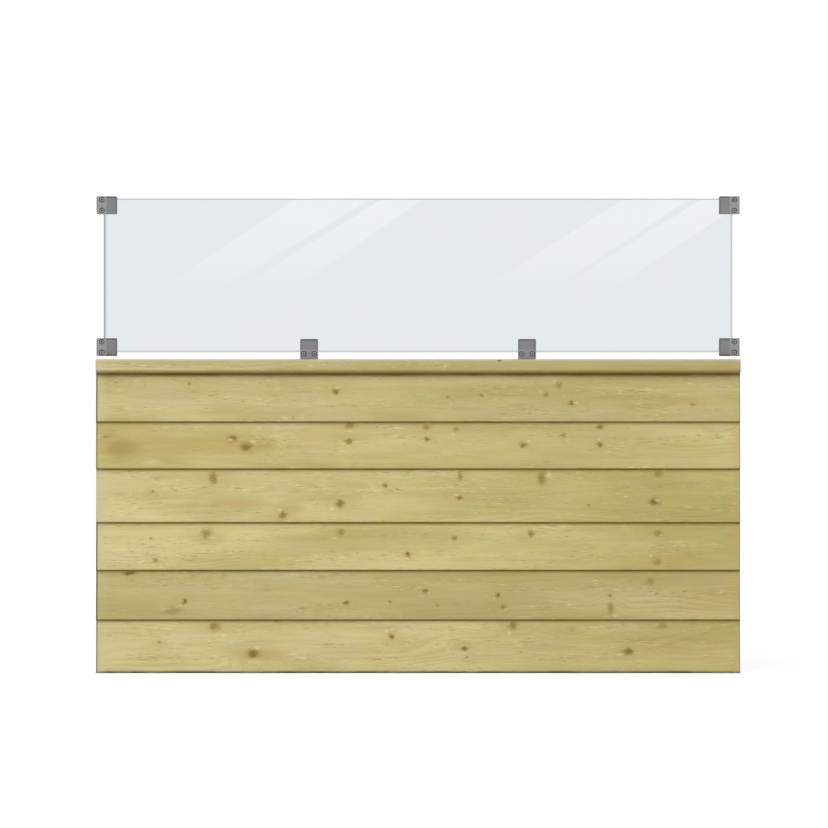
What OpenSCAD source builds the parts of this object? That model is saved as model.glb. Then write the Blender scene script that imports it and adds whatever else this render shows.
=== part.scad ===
// One bay of a timber fence: lapped boards under a top rail, with a clamped glass screen above.
// It hangs between two posts, which are not part of it. All sizes are in millimetres.
// X runs along the fence, Y points to its back and Z points up. The origin is on the left end
// face, in the plane of the glass, level with the lower edge of the lowest board.

/* [Bay] */
// Length of the bay, from the face of one post to the face of the next
bay_length = 1740; // [1200:10:2400]

/* [Boards] */
// Height that the top board shows
cover_1 = 131; // [110:1:160]
// Height that the second board shows
cover_2 = 127; // [110:1:160]
// Height that the third board shows
cover_3 = 145; // [110:1:160]
// Height that the fourth board shows
cover_4 = 129; // [110:1:160]
// Height that the fifth board shows
cover_5 = 134; // [110:1:160]
// Height that the lowest board shows
cover_6 = 144; // [110:1:160]
// Thickness of a board at its lower edge
board_butt = 22; // [20:0.5:28]
// Thickness of the tongue along a board's upper edge
tongue_thick = 14; // [10:0.5:16]
// Height of the rebate by which a board laps over the next one
lap_height = 14; // [10:1:20]
// Room that each rebate leaves over the tongue for the timber to swell
swell_gap = 2; // [1:0.5:4]
// Clearance on each side of a tongue
tongue_gap = 0.3; // [0.2:0.1:0.8]
// Radius of a board's front lower arris
nose_round = 3; // [1:0.5:3.5]
// Radius of the other board arrises
board_round = 1.5; // [0.5:0.5:2]

/* [Top rail] */
// Depth of the rail, from front to back
rail_depth = 89; // [85:1:130]
// Height of the rail
rail_height = 38; // [30:1:50]
// Width of the level strip along the middle of the rail's top
rail_flat = 44; // [30:1:60]
// Fall of the slopes that shed water on both sides of the level strip
rail_fall = 2; // [1:0.5:6]
// Radius of the rail's upper arrises
rail_upper_round = 3; // [2:0.5:8]
// Radius of the rail's lower arrises
rail_lower_round = 11; // [3:0.5:11.5]
// Radius of the drip grooves under the rail
drip_round = 1.5; // [1:0.25:2]
// Distance of a drip groove from the edge of the rail
drip_inset = 14; // [13.5:0.5:15]

/* [Battens] */
// Width of a batten along the fence
batten_width = 45; // [36:1:70]
// Depth of a batten behind the boards
batten_depth = 45; // [36:1:60]
// Radius of the batten arrises
batten_round = 3; // [1:0.5:6]
// Radius of the fixing holes through the end battens
fixing_hole_r = 3.5; // [2.5:0.5:5]
// Radius of the countersinks of those holes
fixing_sink_r = 7; // [6:0.5:9]
// Distance from one fixing hole to the next
fixing_pitch = 300; // [200:10:340]

/* [Glass] */
// Height of the glass
glass_height = 416; // [200:1:700]
// Thickness of the glass
glass_thick = 6; // [5:0.5:10]
// Distance from the edges of the glass to the faces that its clamps stand on
glass_gap = 19; // [18:0.5:25]
// Radius of the rounded edges of the glass
glass_round = 2.25; // [0.5:0.25:2.25]

/* [Clamps] */
// Reach of a clamp from the face it stands on
clamp_reach = 55; // [45:1:80]
// Width of a clamp
clamp_width = 48; // [44:1:70]
// Thickness of each jaw
jaw_thick = 6; // [4:0.5:10]
// Thickness of each rubber pad
pad_thick = 2; // [1:0.25:3]
// Distance from the edges of a pad to the edges of its jaw
pad_margin = 2; // [1:0.5:5]
// Clearance between the glass and the bottom of a clamp's slot
slot_gap = 0.5; // [0.3:0.1:1]
// Radius of a clamp's corners
clamp_round = 2.5; // [1:0.5:5]
// Reach of the flat land that holds a clamp's screws, from the face it stands on
land_reach = 27; // [24:0.5:32]
// Width of the chamfer along the edges of the land
land_chamfer = 0.8; // [0.4:0.1:1.2]
// Width of the bevels round the jaws, seen from the front
bevel_width = 4.5; // [2:0.5:6]
// Depth of those bevels
bevel_depth = 2; // [1:0.25:3]
// Height that the top clamps rise over the glass
clamp_rise = 6; // [2:0.5:12]
// Height of the bottom corner clamps over the rail
clamp_lift = 9; // [3:0.5:16]
// Distance between the two middle clamps
middle_pitch = 590; // [300:10:900]

/* [Clamp screws] */
// Distance between the two screws of a clamp
screw_pitch = 29; // [22:0.5:32]
// Distance of the screws from the face that the clamp stands on
screw_inset = 14.5; // [10:0.5:15]
// Radius of the screw holes through the cover
screw_hole_r = 3.25; // [3:0.05:3.5]
// Radius of the countersinks in the cover
screw_sink_r = 6.5; // [5:0.25:7]
// Radius of the tapped holes in the body
tapped_hole_r = 2.5; // [2:0.1:2.6]
// Depth of the tapped holes
tapped_depth = 12; // [8:0.5:14]
// Radius of the hole that fixes a clamp to a post or to the rail
anchor_hole_r = 2.5; // [2:0.25:3]
// Distance from the countersink of that hole to the sides of the slot
anchor_margin = 0.8; // [0.7:0.1:1]

/* [Hidden] */
$fn = 48;
// How far a cutting shape runs past the faces that it cuts
over = 0.5;
// Chords in a rounded edge of timber or glass, and in a rounded corner of a clamp
edge_steps = 8;
corner_steps = 5;

// Boards, from the top one down
covers = [cover_1, cover_2, cover_3, cover_4, cover_5, cover_6];
function total(list, count) = count == 0 ? 0 : list[count - 1] + total(list, count - 1);
wall_height = total(covers, len(covers));
board_feet = [for (i = [1:len(covers)]) wall_height - total(covers, i)];
tongue_height = lap_height - swell_gap;

// The boards and the battens behind them stand centred under the rail
board_back = (board_butt - batten_depth) / 2;
rail_top = wall_height + rail_height;

// Slot of a clamp, which holds the glass between two pads
slot_depth = glass_thick + 2 * pad_thick;
clamp_depth = slot_depth + 2 * jaw_thick;
block_reach = glass_gap - slot_gap;
anchor_sink_r = slot_depth / 2 - anchor_margin;

// Places of the glass and its clamps
glass_foot = rail_top + glass_gap;
top_clamp_z = glass_foot + glass_height + clamp_rise - clamp_width / 2;
low_clamp_z = rail_top + clamp_lift + clamp_width / 2;
middle_left_x = (bay_length - middle_pitch) / 2;
middle_right_x = (bay_length + middle_pitch) / 2;

// Each clamp: its name, the middle of the face it stands on, and the angle up from X that it points to
clamps = [
    ["clamp_top_left", [0, 0, top_clamp_z], 0],
    ["clamp_top_right", [bay_length, 0, top_clamp_z], 180],
    ["clamp_bottom_left", [0, 0, low_clamp_z], 0],
    ["clamp_bottom_right", [bay_length, 0, low_clamp_z], 180],
    ["clamp_middle_left", [middle_left_x, 0, rail_top], 90],
    ["clamp_middle_right", [middle_right_x, 0, rail_top], 90],
];

// Points of the arc of radius r that eases the corner b between its neighbours a and c
function unit(v) = v / norm(v);
function eased_corner(a, b, c, r, steps) =
    let (
        to_a = unit(a - b),
        to_c = unit(c - b),
        half = acos(to_a * to_c) / 2,
        centre = b + unit(to_a + to_c) * r / sin(half),
        spoke = b + to_a * r / tan(half) - centre,
        side = sign(cross(to_c, to_a)),
        turn = side * (180 - 2 * half) / steps
    )
    [for (i = [0:steps]) centre + [
        spoke[0] * cos(turn * i) - spoke[1] * sin(turn * i),
        spoke[0] * sin(turn * i) + spoke[1] * cos(turn * i)
    ]];

// An outline given as [x, y, radius] corners, with its corners eased
function eased(corners, steps) = [
    for (i = [0:len(corners) - 1])
        let (
            n = len(corners),
            before = corners[(i + n - 1) % n],
            here = corners[i],
            after = corners[(i + 1) % n],
            a = [before[0], before[1]],
            b = [here[0], here[1]],
            c = [after[0], after[1]]
        )
        each here[2] == 0 ? [b] : eased_corner(a, b, c, here[2], steps)
];

// Runs a section drawn in Y and Z along X
module along_x(length) {
    rotate([90, 0, 90])
        linear_extrude(length)
            children();
}

// A countersunk hole along Z, with its mouth at the origin and its shank going down
module sunk_hole(hole_r, sink_r, depth) {
    sink_depth = sink_r - hole_r;
    translate([0, 0, -sink_depth])
        cylinder(h = sink_depth + over, r1 = hole_r, r2 = sink_r + over);
    translate([0, 0, -depth - over])
        cylinder(h = depth + over, r = hole_r);
}

// Section of a board: a sloping face over a rebated nose, and a tongue along the upper edge
function board_section(cover) = [
    [-board_butt, 0, nose_round],
    [-tongue_thick, cover, 0],
    [-tongue_thick, cover + tongue_height, board_round],
    [0, cover + tongue_height, board_round],
    [0, lap_height, 0],
    [-tongue_thick - tongue_gap, lap_height, 0],
    [-tongue_thick - tongue_gap, 0, board_round],
];

module board(index) {
    color("burlywood")
        translate([0, board_back, board_feet[index]])
            along_x(bay_length)
                polygon(eased(board_section(covers[index]), edge_steps));
}

// Section of the rail: a level strip between two slopes
rail_section = [
    [-rail_depth / 2, 0, rail_lower_round],
    [-rail_depth / 2, rail_height - rail_fall, rail_upper_round],
    [-rail_flat / 2, rail_height, 0],
    [rail_flat / 2, rail_height, 0],
    [rail_depth / 2, rail_height - rail_fall, rail_upper_round],
    [rail_depth / 2, 0, rail_lower_round],
];

// Groove under the rail for the tongue of the top board
module tongue_groove() {
    translate([-over, board_back - tongue_thick - tongue_gap, -over])
        cube([bay_length + 2 * over, tongue_thick + 2 * tongue_gap, lap_height + over]);
}

module drip_grooves() {
    for (side = [-1, 1])
        translate([-over, side * (rail_depth / 2 - drip_inset), 0])
            rotate([0, 90, 0])
                cylinder(h = bay_length + 2 * over, r = drip_round);
}

module top_rail() {
    color("tan")
        translate([0, 0, wall_height])
            difference() {
                along_x(bay_length)
                    polygon(eased(rail_section, edge_steps));
                tongue_groove();
                drip_grooves();
            }
}

module batten(left) {
    color("burlywood")
        translate([left, board_back, 0])
            linear_extrude(wall_height)
                polygon(eased([
                    [0, 0, batten_round],
                    [batten_width, 0, batten_round],
                    [batten_width, batten_depth, batten_round],
                    [0, batten_depth, batten_round],
                ], edge_steps));
}

// The left batten, with holes to screw it to its post from the inner side
module end_batten() {
    color("burlywood")
        difference() {
            batten(0);
            for (row = [-1, 0, 1])
                translate([batten_width, board_back + batten_depth / 2, wall_height / 2 + row * fixing_pitch])
                    rotate([0, 90, 0])
                        sunk_hole(fixing_hole_r, fixing_sink_r, batten_width);
        }
}

// Shows its children as they stand on the right end of the bay
module at_right_end() {
    translate([bay_length, 0, 0])
        mirror([1, 0, 0])
            children();
}

module glass_panel() {
    length = bay_length - 2 * glass_gap;
    half = glass_thick / 2;
    color("lightcyan", 0.4)
        translate([glass_gap, 0, glass_foot])
            intersection() {
                along_x(length)
                    polygon(eased([
                        [-half, 0, glass_round],
                        [half, 0, glass_round],
                        [half, glass_height, glass_round],
                        [-half, glass_height, glass_round],
                    ], edge_steps));
                linear_extrude(glass_height)
                    polygon(eased([
                        [0, -half, glass_round],
                        [length, -half, glass_round],
                        [length, half, glass_round],
                        [0, half, glass_round],
                    ], edge_steps));
            }
}

// A block that stands on the YZ plane, with its front towards -Y and its four long edges cut off
module cut_bar(reach, cut_width, cut_depth) {
    half_width = clamp_width / 2;
    half_depth = clamp_depth / 2;
    along_x(reach)
        polygon([
            for (y = [-1, 1])
                for (z = [-y, y])
                    each let (
                        on_side = [y * (half_depth - cut_depth), z * half_width],
                        on_face = [y * half_depth, z * (half_width - cut_width)]
                    )
                    y == z ? [on_face, on_side] : [on_side, on_face]
        ]);
}

// The outside of a closed clamp, which reaches along X: a flat land, and jaws with bevels round them
module clamp_form() {
    half_width = clamp_width / 2;
    half_depth = clamp_depth / 2;
    intersection() {
        translate([0, half_depth, 0])
            rotate([90, 0, 0])
                linear_extrude(clamp_depth)
                    polygon(eased([
                        [0, -half_width, clamp_round],
                        [clamp_reach, -half_width, clamp_round],
                        [clamp_reach, half_width, clamp_round],
                        [0, half_width, clamp_round],
                    ], corner_steps));
        linear_extrude(clamp_width, center = true)
            polygon([
                [0, -half_depth],
                [clamp_reach - bevel_width, -half_depth],
                [clamp_reach, bevel_depth - half_depth],
                [clamp_reach, half_depth - bevel_depth],
                [clamp_reach - bevel_width, half_depth],
                [0, half_depth],
            ]);
        union() {
            cut_bar(land_reach, land_chamfer, land_chamfer);
            cut_bar(clamp_reach, bevel_width, bevel_depth);
        }
    }
}

// All of a clamp's form in front of the slot's front side
module cover_space(grow) {
    translate([-grow, -clamp_depth / 2 - grow, -clamp_width / 2 - grow])
        cube([clamp_reach + 2 * grow, jaw_thick + grow, clamp_width + 2 * grow]);
}

// Places holes at the two screws, with their mouths towards the front at the given depth
module at_screws(y) {
    for (side = [-1, 1])
        translate([screw_inset, y, side * screw_pitch / 2])
            rotate([90, 0, 0])
                children();
}

module clamp_cover() {
    color("gray")
        difference() {
            intersection() {
                clamp_form();
                cover_space(over);
            }
            at_screws(-clamp_depth / 2)
                sunk_hole(screw_hole_r, screw_sink_r, jaw_thick);
        }
}

module clamp_body() {
    color("dimgray")
        difference() {
            clamp_form();
            cover_space(over);
            translate([block_reach, -slot_depth / 2 - over, -clamp_width / 2 - over])
                cube([clamp_reach, slot_depth + over, clamp_width + 2 * over]);
            translate([block_reach, 0, 0])
                rotate([0, 90, 0])
                    sunk_hole(anchor_hole_r, anchor_sink_r, block_reach);
            at_screws(-slot_depth / 2)
                translate([0, 0, -tapped_depth])
                    cylinder(h = tapped_depth + over, r = tapped_hole_r);
        }
}

// The two rubber pads that grip the glass
module clamp_pads() {
    inner = block_reach + pad_margin;
    outer = clamp_reach - pad_margin;
    half_width = clamp_width / 2 - pad_margin;
    color("black")
        for (back = [glass_thick / 2 + pad_thick, -glass_thick / 2])
            translate([0, back, 0])
                rotate([90, 0, 0])
                    linear_extrude(pad_thick)
                        polygon(eased([
                            [inner, -half_width, clamp_round],
                            [outer, -half_width, clamp_round],
                            [outer, half_width, clamp_round],
                            [inner, half_width, clamp_round],
                        ], corner_steps));
}

// Moves a clamp's piece from the YZ plane to where the clamp stands
module at_clamp(clamp) {
    translate(clamp[1])
        rotate([0, -clamp[2], 0])
            children();
}

top_rail();
for (i = [0:len(covers) - 1])
    board(i);
end_batten();  // left_batten
batten((bay_length - batten_width) / 2);  // centre_batten
at_right_end() end_batten();  // right_batten
glass_panel();
for (clamp = clamps) {
    at_clamp(clamp) clamp_body();
    at_clamp(clamp) clamp_cover();
    at_clamp(clamp) clamp_pads();
}
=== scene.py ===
# %% [markdown]
# # A lapped fence bay with a glass screen
#
# This lesson dresses one bay of a garden fence: six lapped pine boards under a top rail, and a sheet of
# clear glass that six square clamps hold above it. The solids of every piece come from a CAD model, so
# their sizes and places are settled. What is left is what the eye goes to: timber that looks planed and
# pressure treated, with its knots where a saw would have met them, satin metal, rubber, rounded glass
# edges, and the screws.

# %% Load the solids
import math

import bpy
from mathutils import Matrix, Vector


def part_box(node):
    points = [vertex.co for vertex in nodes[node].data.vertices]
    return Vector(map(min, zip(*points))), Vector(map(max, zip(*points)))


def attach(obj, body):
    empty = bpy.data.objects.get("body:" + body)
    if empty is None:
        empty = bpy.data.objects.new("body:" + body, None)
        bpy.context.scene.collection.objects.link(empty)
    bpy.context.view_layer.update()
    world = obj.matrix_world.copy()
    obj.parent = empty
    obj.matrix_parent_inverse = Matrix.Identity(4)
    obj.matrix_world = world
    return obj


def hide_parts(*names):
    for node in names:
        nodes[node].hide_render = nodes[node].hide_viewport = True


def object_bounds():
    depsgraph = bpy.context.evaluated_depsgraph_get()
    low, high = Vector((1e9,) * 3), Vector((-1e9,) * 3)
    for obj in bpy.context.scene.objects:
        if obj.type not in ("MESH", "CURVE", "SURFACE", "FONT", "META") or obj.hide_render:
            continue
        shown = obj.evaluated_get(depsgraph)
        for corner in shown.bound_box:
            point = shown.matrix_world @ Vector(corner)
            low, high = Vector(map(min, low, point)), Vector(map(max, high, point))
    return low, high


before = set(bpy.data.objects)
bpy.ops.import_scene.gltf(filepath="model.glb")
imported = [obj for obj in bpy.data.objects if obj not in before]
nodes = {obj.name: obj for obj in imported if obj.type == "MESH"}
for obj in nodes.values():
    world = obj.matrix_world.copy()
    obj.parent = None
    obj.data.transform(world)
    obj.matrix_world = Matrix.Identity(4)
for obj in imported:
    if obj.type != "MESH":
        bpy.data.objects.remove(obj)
solid_low, solid_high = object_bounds()
bay_length = solid_high.x - solid_low.x
rail_low, rail_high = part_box("top_rail")
print("solids:", len(nodes), "bay length:", round(bay_length, 3))

# %% [markdown]
# ## The picture
#
# A product shot of a flat thing is taken from far away with a long lens, square to its face, so that its
# edges stay parallel. A lens of 200 mm on a 36 mm sensor does that. The distance then follows from how
# wide a strip of the fence the picture is to show.

# %% Camera
LENS = 0.200
SENSOR = 0.036
PICTURE_WIDTH = 2.236
AIM_LEFT_OF_MIDDLE = 0.011
AIM_HEIGHT = 0.700
FARTHEST_SEEN = 100

board_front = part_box("board_6")[0].y
camera_data = bpy.data.cameras.new("Camera")
camera_data.lens = LENS * 1000
camera_data.sensor_width = SENSOR * 1000
camera_data.clip_end = FARTHEST_SEEN
camera = bpy.data.objects.new("Camera", camera_data)
bpy.context.scene.collection.objects.link(camera)
camera.location = (
    (solid_low.x + solid_high.x) / 2 - AIM_LEFT_OF_MIDDLE,
    board_front - PICTURE_WIDTH * LENS / SENSOR,
    AIM_HEIGHT,
)
camera.rotation_euler = (math.radians(90), 0, 0)
bpy.context.scene.camera = camera
bpy.context.scene.view_settings.view_transform = "Standard"
print("camera stands", round(-camera.location.y, 2), "m in front")

# %% [markdown]
# ## Building materials from small functions
#
# Every material here is a tree of nodes, which is hard to read when it is written out call by call. So a
# few short functions do the wiring: one adds any node, and the others are the sums, noises and colour
# mixes that the finishes are made of. Each returns the socket that the next step plugs in.

# %% Node helpers
WHITE = (1, 1, 1, 1)
USUAL = (0.3, 0.7)  # Most of a noise lies between these


def fill(tree, node, inputs):
    """Links inputs of a node, by name or number, to other sockets, or sets them to plain values."""
    for name, value in inputs.items():
        if isinstance(value, bpy.types.NodeSocket):
            tree.links.new(value, node.inputs[name])
        else:
            node.inputs[name].default_value = value


def add_node(tree, kind, inputs=(), **settings):
    """Adds a node, changes its settings, and fills its inputs."""
    made = tree.nodes.new("ShaderNode" + kind)
    for name, value in settings.items():
        setattr(made, name, value)
    fill(tree, made, dict(inputs))
    return made


def maths(tree, operation, *values):
    return add_node(tree, "Math", dict(enumerate(values)), operation=operation).outputs[0]


def vector_maths(tree, operation, *values):
    return add_node(tree, "VectorMath", dict(enumerate(values)), operation=operation).outputs["Vector"]


def length(tree, vector):
    return add_node(tree, "VectorMath", {0: vector}, operation="LENGTH").outputs["Value"]


def scaled(tree, vector, factor):
    return add_node(tree, "VectorMath", {0: vector, "Scale": factor}, operation="SCALE").outputs["Vector"]


def apart(tree, vector):
    """The X, Y and Z of a vector."""
    return add_node(tree, "SeparateXYZ", {"Vector": vector}).outputs


def noise(tree, place, stretch, detail=2.0, roughness=0.5, output="Fac"):
    """A noise whose stretch gives how many features there are in a metre along X, Y and Z."""
    stretched = vector_maths(tree, "MULTIPLY", place, stretch)
    inputs = {"Vector": stretched, "Scale": 1.0, "Detail": detail, "Roughness": roughness}
    return add_node(tree, "TexNoise", inputs).outputs[output]


def spread(tree, value, start, end, low=0.0, high=1.0, kind="SMOOTHSTEP"):
    """Takes a value from the range start to end to the range low to high, and holds it there."""
    inputs = {"Value": value, "From Min": start, "From Max": end, "To Min": low, "To Max": high}
    return add_node(tree, "MapRange", inputs, interpolation_type=kind).outputs["Result"]


def ramp(tree, *given):
    """Spreads a value without easing it in and out."""
    return spread(tree, *given, kind="LINEAR")


def product(tree, *values):
    result = values[0]
    for value in values[1:]:
        result = maths(tree, "MULTIPLY", result, value)
    return result


def mix(tree, factor, first, second):
    """Mixes two colours."""
    inputs = {0: factor, 6: first, 7: second}
    return add_node(tree, "Mix", inputs, data_type="RGBA").outputs[2]


def tint_near(tree, shade, distance, start, full, tint, strength=1.0, cover=None):
    """Tints a shade where a distance is short: not at all beyond start, and by strength within full."""
    near = spread(tree, distance, start, full, 0.0, strength)
    return mix(tree, near if cover is None else product(tree, near, cover), shade, tint)


def colour(red, green, blue):
    """A colour from the 0 to 255 values of a paint chart, as the linear values that a shader works in."""
    def linear(value):
        value = value / 255
        return value / 12.92 if value <= 0.04045 else ((value + 0.055) / 1.055) ** 2.4

    return (linear(red), linear(green), linear(blue), 1.0)


def new_material(name):
    made = bpy.data.materials.new(name)
    made.use_nodes = True
    tree = made.node_tree
    shader = next(n for n in tree.nodes if n.type == "BSDF_PRINCIPLED")
    place = add_node(tree, "TexCoord").outputs["Object"]
    return made, tree, shader, place


def new_group(name, given, results):
    """A group with these sockets, by name and kind, and the places where they are read and written."""
    group = bpy.data.node_groups.new(name, "ShaderNodeTree")
    for way, kinds in (("INPUT", given), ("OUTPUT", results)):
        for socket, kind in kinds.items():
            group.interface.new_socket(socket, in_out=way, socket_type="NodeSocket" + kind)
    return group, group.nodes.new("NodeGroupInput").outputs, group.nodes.new("NodeGroupOutput").inputs


def bump(tree, height, strength, distance):
    """The normals of a surface that has this height."""
    inputs = {"Height": height, "Strength": strength, "Distance": distance}
    return add_node(tree, "Bump", inputs).outputs["Normal"]


print("helpers ready")

# %% [markdown]
# ## The studio
#
# The background of a product shot is pure white, but lighting a scene until the floor burns out would
# also wash out the wood. So the white is seen and not cast: rays from the camera, and those that a glossy
# or clear surface sends on, meet a white room, while the rays that light the wood meet a dimmer one.
# Metal in an all-white room looks like card, so what gloss mirrors darkens towards the sides, as it would
# with black screens beside the set. What is seen through the glass stays white.

# %% Room
ROOM_LIGHT = 0.42
SIDE_SCREENS = 0.30
SCREENS_THIN, SCREENS_END = 0.50, 0.95  # How much of a ray's direction runs forward or back


def seen_directly(tree, path):
    """1 for rays from the camera, and for those through glass or off gloss."""
    either = maths(tree, "MAXIMUM", path["Is Camera Ray"], path["Is Glossy Ray"])
    return maths(tree, "MAXIMUM", either, path["Is Transmission Ray"])


world = bpy.data.worlds.new("Room")
world.use_nodes = True
bpy.context.scene.world = world
room = world.node_tree
background = next(n for n in room.nodes if n.type == "BACKGROUND")
path = add_node(room, "LightPath").outputs
towards = apart(room, add_node(room, "TexCoord").outputs["Generated"])
forward = maths(room, "ABSOLUTE", towards["Y"])
screens = spread(room, forward, SCREENS_THIN, SCREENS_END, SIDE_SCREENS, 1)
not_through = maths(room, "SUBTRACT", 1.0, path["Is Transmission Ray"])
mirrored_off = product(room, path["Is Glossy Ray"], not_through)
seen = ramp(room, mirrored_off, 0, 1, 1, screens)
strength = ramp(room, seen_directly(room, path), 0, 1, ROOM_LIGHT, seen)
fill(room, background, {"Color": WHITE, "Strength": strength})
print("room light:", ROOM_LIGHT)

# %% [markdown]
# The floor is a matt sheet that runs out of sight. It adds just enough glow to reach white, a little more
# of it far away, where the lamps don't reach. Where it is seen it is darker than the floor that throws
# light up at the fence, so that the white is even and only a soft shadow is left on it.

# %% Floor
FLOOR_SIZE = 90.0
THROWN_BACK = 0.30
PAINT_SEEN = 0.16
NEAR, NEAR_GLOW = 3.0, 0.84
FAR, FAR_GLOW = 9.0, 0.95

bpy.ops.mesh.primitive_plane_add(size=FLOOR_SIZE, location=(bay_length / 2, 0, solid_low.z))
floor = bpy.context.object
floor.name = "floor"
floor_paint, tree, shader, place = new_material("Pale floor")
seen = seen_directly(tree, add_node(tree, "LightPath").outputs)
glow = spread(tree, length(tree, place), NEAR, FAR, NEAR_GLOW, FAR_GLOW)
fill(tree, shader, {
    "Base Color": ramp(tree, seen, 0, 1, THROWN_BACK, PAINT_SEEN),
    "Roughness": 1.0,
    "Specular IOR Level": 0.0,
    "Emission Color": WHITE,
    "Emission Strength": product(tree, seen, glow),
})
floor.data.materials.append(floor_paint)
print("floor at", solid_low.z)

# %% [markdown]
# One very large, soft lamp stands high in front and to the left. Its size lets the shadow under each lap
# fade out over a finger's width, and its distance keeps the light even from the rail to the foot. A
# weaker one behind keeps the back of the fence readable. Metal and glass would show a lamp as a hard
# white patch, so the lamps are hidden from what they mirror and pass on.

# %% Lamps
LIT_HEIGHT = 0.65


def area_lamp(name, size, watts, location):
    """A soft lamp that looks at the middle of the fence from a place given from there."""
    data = bpy.data.lights.new(name, "AREA")
    data.shape = "RECTANGLE"
    data.size, data.size_y = size
    data.energy = watts
    lamp = bpy.data.objects.new(name, data)
    bpy.context.scene.collection.objects.link(lamp)
    middle = Vector((bay_length / 2, 0, LIT_HEIGHT))
    lamp.location = middle + Vector(location)
    lamp.rotation_euler = (middle - lamp.location).to_track_quat("-Z", "Y").to_euler()
    lamp.visible_camera = lamp.visible_glossy = lamp.visible_transmission = False


area_lamp("Key lamp", (9, 10), 1900, (-5, -9, 8.35))
area_lamp("Back lamp", (7, 6), 700, (4, 8, 5))

# %% [markdown]
# ## Pine
#
# A board is a slice of a log, and its figure is where the slice cuts the growth rings. So the rings are
# made in three dimensions, as cylinders round the log's heart, which lies somewhere behind the board and
# leans a little: the face then shows long flames, and the ends show arcs, all from one formula. Fine
# fibres run along the length, and the treatment leaves the wood a pale olive yellow with deeper patches.
#
# Knots are where branches grew out through the board. Each is a soft brown stain with a darker core off
# its middle, a warm halo drawn out along the grain, and often a pale fleck of bark pocket beside it. One
# group adds a knot's four layers to those so far and keeps the stronger of each, so that neighbouring
# knots run into each other without a seam.

# %% Knot group
KNOT_LAYERS = {
    # name: (stretch, how far it lies off the middle, distance where it starts, and where it is full)
    "Stain": ((1, 1, 1), 0.0, 1.30, 0.50),
    "Core": ((1, 1, 1), 0.4, 0.85, 0.25),
    "Halo": ((0.38, 1, 0.75), 1.0, 2.1, 0.4),
    "Fleck": ((1, 1, 1.5), -3.0, 0.65, 0.15),
}
LAYER_SOCKETS = dict.fromkeys(KNOT_LAYERS, "Float")


def make_knot_group():
    sockets = {**dict.fromkeys(("Place", "Centre", "Shape"), "Vector"), "Depth": "Float", **LAYER_SOCKETS}
    group, given, result = new_group("Knot", sockets, LAYER_SOCKETS)
    from_centre = vector_maths(group, "SUBTRACT", given["Place"], given["Centre"])
    from_centre = vector_maths(group, "MULTIPLY", from_centre, given["Shape"])
    chance = add_node(group, "TexWhiteNoise", {"Vector": given["Centre"]}).outputs["Color"]
    aside = vector_maths(group, "MULTIPLY_ADD", chance, (1, 0, 1), (-0.5, 0, -0.5))
    for name, (stretch, shift, start, full) in KNOT_LAYERS.items():
        moved = vector_maths(group, "MULTIPLY_ADD", aside, (-shift, 0, -shift), from_centre)
        distance = length(group, vector_maths(group, "MULTIPLY", moved, stretch))
        depth = maths(group, "POWER", given["Depth"], 2 if name == "Core" else 1)
        layer = product(group, spread(group, distance, start, full), depth)
        group.links.new(maths(group, "MAXIMUM", layer, given[name]), result[name])
    return group


knot_group = make_knot_group()
print("group:", knot_group.name, len(knot_group.nodes), "nodes")

# %% [markdown]
# The pine itself is one group as well, so that all the timber shares its colours. Each board only says
# where its log's heart lay, how it leans, how deep its tone is, and where its knots are.

# %% Pine colours and figure
RING_PITCH = 0.0045
LATE_RISE = (0.30, 0.85)
LATE_FALL = (1.0, 0.90)
WOBBLE = 0.050
KNOT_SWELL = 0.012
FIBRE_LIFT = 0.006
HUE_SPREAD = (0.11, 0.04, 0.36)
FIGURE = {
    # name: how many features there are in a metre along the grain, and across it both ways
    "sway": (1.6, 7, 7),
    "clear": (1.2, 14, 14),
    "broad": (1.7, 9, 9),
    "blotch": (3.2, 18, 18),
    "olive": (2.6, 15, 15),
    "hue": (9, 26, 26),
    "crowd": (5, 32, 32),
    "streak": (5, 75, 75),
    "fibre": (9, 330, 330),
    "dash": (44, 400, 400),
}
PALE_PINE = colour(207, 193, 137)
DEEP_PINE = colour(181, 167, 106)
OCHRE_PINE = colour(184, 158, 98)
COOL_TINT = (0.985, 1.0, 1.11, 1)
OLIVE_TINT = (0.95, 1.0, 0.90, 1)
LATE_WOOD = colour(160, 144, 86)
PALE_DASH = colour(222, 211, 162)
DARK_DASH = colour(154, 138, 82)
END_GRAIN = colour(150, 136, 88)
KNOT_LOOKS = {
    # layer: (its colour, and how much of the wood it covers)
    "Halo": (colour(186, 164, 103), 0.36),
    "Stain": (colour(152, 133, 66), 0.62),
    "Core": (colour(106, 87, 32), 0.76),
    "Fleck": (colour(226, 212, 166), 0.55),
}
print("figure:", ", ".join(FIGURE))

# %% [markdown]
# The figure is built in the order in which the eye finds it: the rings first, then the broad patches of
# colour that they are drawn on, and then the fibres, which rise a little over each knot. A small function
# makes each of them.

# %% Rings, patches and fibres
def growth_rings(group, given, moved):
    """How late the wood is in its ring, round a leaning heart and pushed aside by the knots."""
    place = given["Place"]
    leaning = scaled(group, given["Lean"], apart(group, place)["X"])
    heart = vector_maths(group, "ADD", given["Heart"], leaning)
    across = vector_maths(group, "MULTIPLY", vector_maths(group, "SUBTRACT", place, heart), (0, 1, 1))
    sway = maths(group, "SUBTRACT", noise(group, moved, FIGURE["sway"]), 0.5)
    radius = maths(group, "MULTIPLY_ADD", sway, WOBBLE, length(group, across))
    radius = maths(group, "MULTIPLY_ADD", given["Halo"], KNOT_SWELL, radius)
    ring = maths(group, "FRACT", maths(group, "DIVIDE", radius, RING_PITCH))
    return product(group, spread(group, ring, *LATE_RISE), spread(group, ring, *LATE_FALL))


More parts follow.
